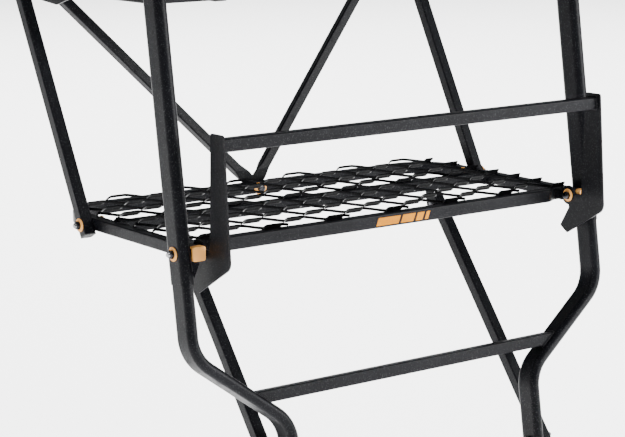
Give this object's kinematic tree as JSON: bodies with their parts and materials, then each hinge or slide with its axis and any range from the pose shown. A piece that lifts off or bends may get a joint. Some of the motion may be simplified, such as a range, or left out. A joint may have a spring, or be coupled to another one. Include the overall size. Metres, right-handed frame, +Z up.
{
  "type": "ladder tree stand platform",
  "caption": "Platform head of a ladder tree stand: mesh deck in a square tube frame, flip-up footrest, folding seat, padded rails and top ladder section.",
  "frame": {"origin": "point where the tree bracket meets the trunk, on the object's centre plane and at the height of the tree bar", "axes": "+X to the sitter's right when facing the trunk, +Y from the stand towards the trunk, +Z up"},
  "size_m": [1.1084, 0.9981, 1.6096],
  "materials": {
    "black_coat": "satin textured black powder coat",
    "orange_nylon": "satin moulded nylon",
    "steel_fastener": "dark zinc plated steel",
    "pad_fabric": "woven polyester over foam",
    "black_rubber": "matte"
  },
  "bodies": {
    "frame": {"side_rail_left": "black_coat", "side_rail_right": "black_coat", "rear_rail": "black_coat", "rear_corner_left": "black_coat", "rear_corner_right": "black_coat", "front_rail": "black_coat", "mid_rail": "black_coat", "deck_mesh": "black_coat", "rail_caps": "orange_nylon", "upright_left": "black_coat", "upright_right": "black_coat", "neck_left": "black_coat", "neck_right": "black_coat", "rung_upper": "black_coat", "rung_lower": "black_coat", "brace_left": "black_coat", "brace_right": "black_coat", "brace_tabs": "black_coat", "brace_bolts": "steel_fastener", "rear_tube_left": "black_coat", "rear_tube_right": "black_coat", "tube_caps": "black_rubber", "v_brace_left": "black_coat", "v_brace_right": "black_coat", "v_bolts": "steel_fastener", "frame_bolts": "steel_fastener", "frame_nuts": "steel_fastener", "nylon_washers": "orange_nylon", "pivot_spacers": "black_coat", "armrest_left": "black_coat", "armrest_right": "black_coat", "armrest_pad_left": "pad_fabric", "armrest_pad_right": "pad_fabric", "armrest_bolts": "steel_fastener", "hinge_lugs": "black_coat", "shooting_bolts": "steel_fastener", "seat_bracket_left": "black_coat", "seat_bracket_right": "black_coat", "seat_bolts": "steel_fastener", "back_bar": "black_coat", "tree_bar": "black_coat", "backrest_pad": "pad_fabric", "tree_bracket": "black_coat", "tree_bracket_bolts": "steel_fastener"},
    "footrest": {"footrest_plate_left": "black_coat", "footrest_plate_right": "black_coat", "footrest_bar": "black_coat"},
    "seat": {"seat_side_left": "black_coat", "seat_side_right": "black_coat", "seat_front_bar": "black_coat", "seat_rear_bar": "black_coat", "seat_cushion": "pad_fabric"},
    "shooting_rail": {"shooting_arm_left": "black_coat", "shooting_arm_right": "black_coat", "shooting_bar": "black_coat", "shooting_pad": "pad_fabric", "rest_bumpers": "black_rubber"}
  },
  "joints": [
    {"name": "footrest_pivot", "type": "hinge", "parent": "frame", "child": "footrest", "pos_m": [0, -0.87, -0.8], "axis": [1, 0, 0], "range_deg": [-90, 60]},
    {"name": "seat_flip", "type": "hinge", "parent": "frame", "child": "seat", "pos_m": [0, -0.3, -0.332], "axis": [-1, 0, 0], "range_deg": [0, 92]},
    {"name": "shooting_rail_flip", "type": "hinge", "parent": "frame", "child": "shooting_rail", "pos_m": [0, -0.27, 0.09], "axis": [-1, 0, 0], "range_deg": [0, 110]}
  ]
}
